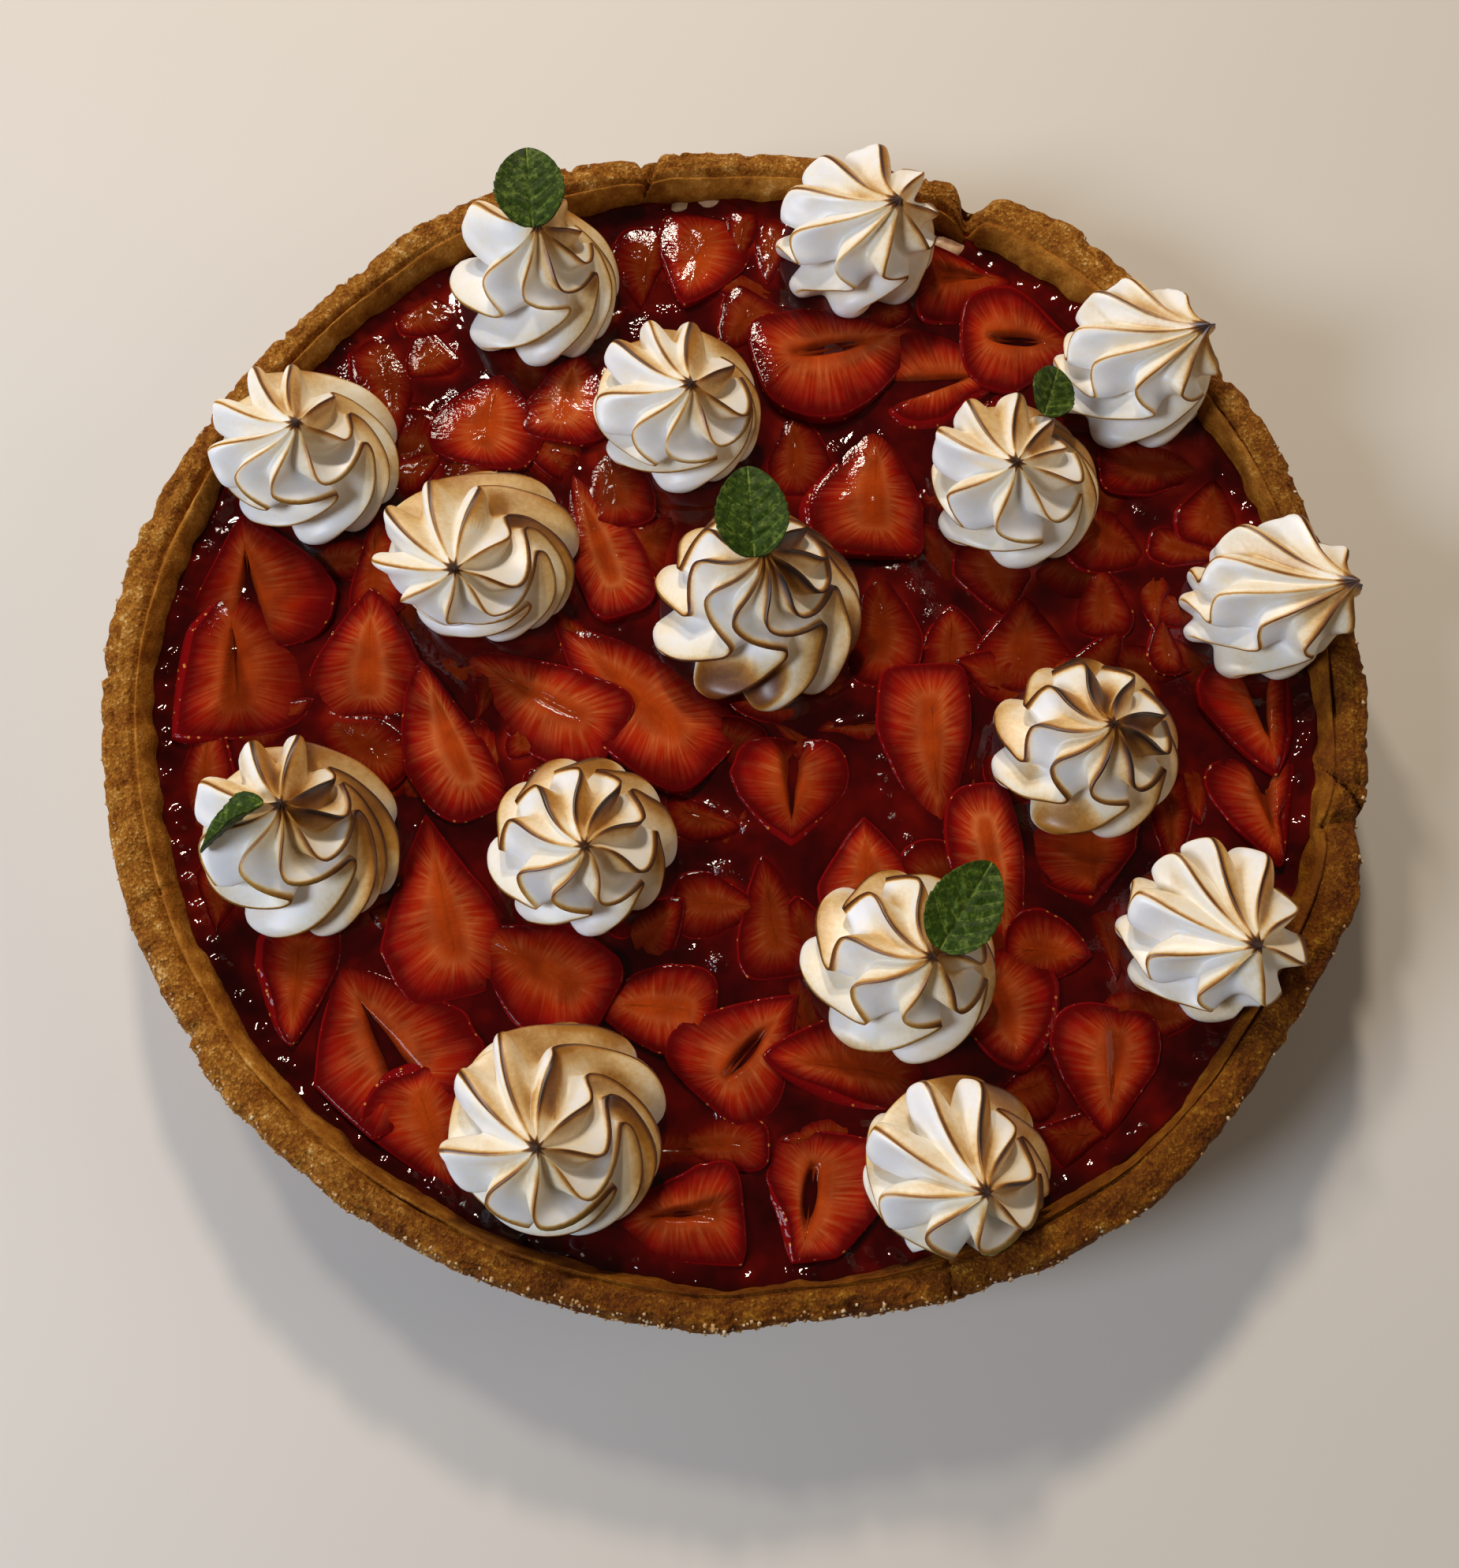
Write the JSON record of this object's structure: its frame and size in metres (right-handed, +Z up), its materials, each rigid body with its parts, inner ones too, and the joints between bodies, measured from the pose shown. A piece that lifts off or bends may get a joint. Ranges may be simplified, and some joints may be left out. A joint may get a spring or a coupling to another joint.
{
  "type": "strawberry tart with torched meringue",
  "caption": "Round open tart: shortcrust shell, pastry cream, strawberries in a set red glaze, topped with torched piped meringue swirls and mint leaves.",
  "frame": {"origin": "middle of the tart's flat underside, on the surface it stands on", "axes": "+Z up through the filling, +Y away from the eater, +X to the right"},
  "size_m": [0.2806, 0.2802, 0.0613],
  "materials": {
    "shortcrust": "baked, rough and crumbly",
    "pastry_cream": "smooth, soft",
    "red_glaze": "clear, wet and glossy",
    "strawberry": "cut fruit under glaze, wet",
    "torched_meringue": "satin, browned on its ridges",
    "mint": "matt leaf"
  },
  "bodies": {
    "root": {"crust": "shortcrust", "cream": "pastry_cream", "jelly": "red_glaze", "strawberry_01": "strawberry", "strawberry_02": "strawberry", "strawberry_03": "strawberry", "strawberry_04": "strawberry", "strawberry_05": "strawberry", "strawberry_06": "strawberry", "strawberry_07": "strawberry", "strawberry_08": "strawberry", "strawberry_09": "strawberry", "strawberry_10": "strawberry", "strawberry_11": "strawberry", "strawberry_12": "strawberry", "strawberry_13": "strawberry", "strawberry_14": "strawberry", "strawberry_15": "strawberry", "strawberry_16": "strawberry", "strawberry_17": "strawberry", "strawberry_18": "strawberry", "strawberry_19": "strawberry", "strawberry_20": "strawberry", "strawberry_21": "strawberry", "strawberry_22": "strawberry", "strawberry_23": "strawberry", "strawberry_24": "strawberry", "strawberry_25": "strawberry", "strawberry_26": "strawberry", "strawberry_27": "strawberry", "strawberry_28": "strawberry", "strawberry_29": "strawberry", "strawberry_30": "strawberry", "strawberry_31": "strawberry", "strawberry_32": "strawberry", "strawberry_33": "strawberry", "strawberry_34": "strawberry", "strawberry_35": "strawberry", "strawberry_36": "strawberry", "meringue_01": "torched_meringue", "meringue_02": "torched_meringue", "meringue_03": "torched_meringue", "meringue_04": "torched_meringue", "meringue_05": "torched_meringue", "meringue_06": "torched_meringue", "meringue_07": "torched_meringue", "meringue_08": "torched_meringue", "meringue_09": "torched_meringue", "meringue_10": "torched_meringue", "meringue_11": "torched_meringue", "meringue_12": "torched_meringue", "meringue_13": "torched_meringue", "meringue_14": "torched_meringue", "meringue_15": "torched_meringue", "meringue_16": "torched_meringue", "mint_leaf_01": "mint", "mint_leaf_02": "mint", "mint_leaf_03": "mint", "mint_leaf_04": "mint", "mint_leaf_05": "mint"}
  },
  "joints": []
}
